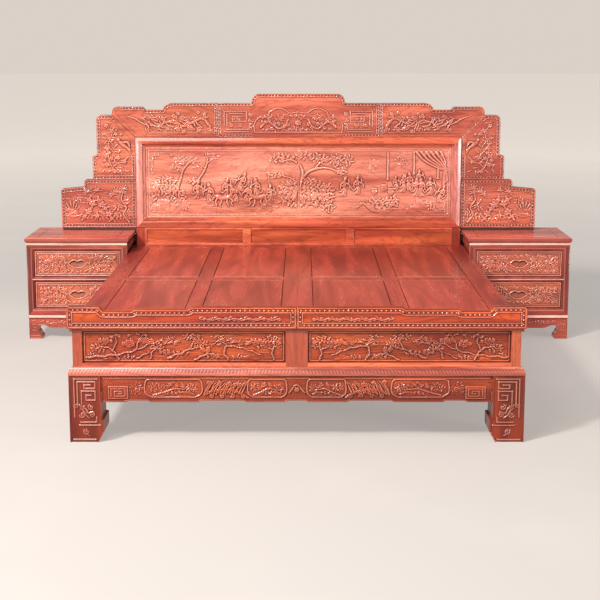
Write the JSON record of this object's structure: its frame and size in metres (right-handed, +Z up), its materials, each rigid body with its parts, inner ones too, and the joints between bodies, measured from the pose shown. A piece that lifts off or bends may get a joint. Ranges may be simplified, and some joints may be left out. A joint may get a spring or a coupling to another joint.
{
  "type": "platform bed with bedside cabinets",
  "caption": "Carved rosewood platform bed with stepped headboard, framed deck and low foot crest on hoof legs, with matching drawer cabinets at its head.",
  "frame": {"origin": "on the floor, under the middle of the bounding box of the bed with both cabinets", "axes": "+Z up, +X to the right of someone facing the headboard from the foot, +Y from the foot to the head"},
  "size_m": [3.208, 2.32, 1.4286],
  "materials": {
    "rosewood_carved": "waxed carved rosewood",
    "rosewood_frame": "polished rosewood mouldings",
    "rosewood_deck": "polished flat rosewood boards",
    "rosewood_inner": "plain planed hardwood"
  },
  "bodies": {
    "bed": {"front_leg_left": "rosewood_carved", "front_leg_right": "rosewood_carved", "front_apron": "rosewood_carved", "side_apron_left": "rosewood_frame", "side_apron_right": "rosewood_frame", "base_moulding_left": "rosewood_frame", "base_moulding_right": "rosewood_frame", "foot_frame_left": "rosewood_frame", "foot_frame_right": "rosewood_frame", "foot_panel_left": "rosewood_carved", "foot_panel_right": "rosewood_carved", "side_board_left": "rosewood_frame", "side_board_right": "rosewood_frame", "centre_beam": "rosewood_inner", "foot_crest_left": "rosewood_carved", "foot_crest_right": "rosewood_carved", "deck_frame_left": "rosewood_deck", "deck_frame_right": "rosewood_deck", "deck_panel_left_inner_foot": "rosewood_deck", "deck_panel_left_inner_head": "rosewood_deck", "deck_panel_left_outer_foot": "rosewood_deck", "deck_panel_left_outer_head": "rosewood_deck", "deck_panel_right_inner_foot": "rosewood_deck", "deck_panel_right_inner_head": "rosewood_deck", "deck_panel_right_outer_foot": "rosewood_deck", "deck_panel_right_outer_head": "rosewood_deck", "headboard_post_left": "rosewood_frame", "headboard_post_right": "rosewood_frame", "back_frame": "rosewood_frame", "back_panel_left": "rosewood_frame", "back_panel_center": "rosewood_frame", "back_panel_right": "rosewood_frame", "headboard_top_rail": "rosewood_frame", "headboard_bottom_rail": "rosewood_frame", "headboard_stile_left": "rosewood_frame", "headboard_stile_right": "rosewood_frame", "headboard_panel": "rosewood_carved", "crest_left": "rosewood_carved", "crest_center": "rosewood_carved", "crest_right": "rosewood_carved", "upper_wing_left": "rosewood_carved", "upper_wing_right": "rosewood_carved", "lower_wing_left": "rosewood_carved", "lower_wing_right": "rosewood_carved", "nightstand_left_top_frame": "rosewood_deck", "nightstand_left_top_panel": "rosewood_deck", "nightstand_left_case": "rosewood_frame", "nightstand_left_stand": "rosewood_frame", "nightstand_right_top_frame": "rosewood_deck", "nightstand_right_top_panel": "rosewood_deck", "nightstand_right_case": "rosewood_frame", "nightstand_right_stand": "rosewood_frame"},
    "left_upper_drawer": {"nightstand_left_upper_drawer_front": "rosewood_carved", "nightstand_left_upper_drawer_tray": "rosewood_inner"},
    "left_lower_drawer": {"nightstand_left_lower_drawer_front": "rosewood_carved", "nightstand_left_lower_drawer_tray": "rosewood_inner"},
    "right_upper_drawer": {"nightstand_right_upper_drawer_front": "rosewood_carved", "nightstand_right_upper_drawer_tray": "rosewood_inner"},
    "right_lower_drawer": {"nightstand_right_lower_drawer_front": "rosewood_carved", "nightstand_right_lower_drawer_tray": "rosewood_inner"}
  },
  "joints": [
    {"name": "left_upper_drawer_slide", "type": "slide", "parent": "bed", "child": "left_upper_drawer", "axis": [0, -1, 0], "range_m": [0, 0.26]},
    {"name": "left_lower_drawer_slide", "type": "slide", "parent": "bed", "child": "left_lower_drawer", "axis": [0, -1, 0], "range_m": [0, 0.26]},
    {"name": "right_upper_drawer_slide", "type": "slide", "parent": "bed", "child": "right_upper_drawer", "axis": [0, -1, 0], "range_m": [0, 0.26]},
    {"name": "right_lower_drawer_slide", "type": "slide", "parent": "bed", "child": "right_lower_drawer", "axis": [0, -1, 0], "range_m": [0, 0.26]}
  ]
}
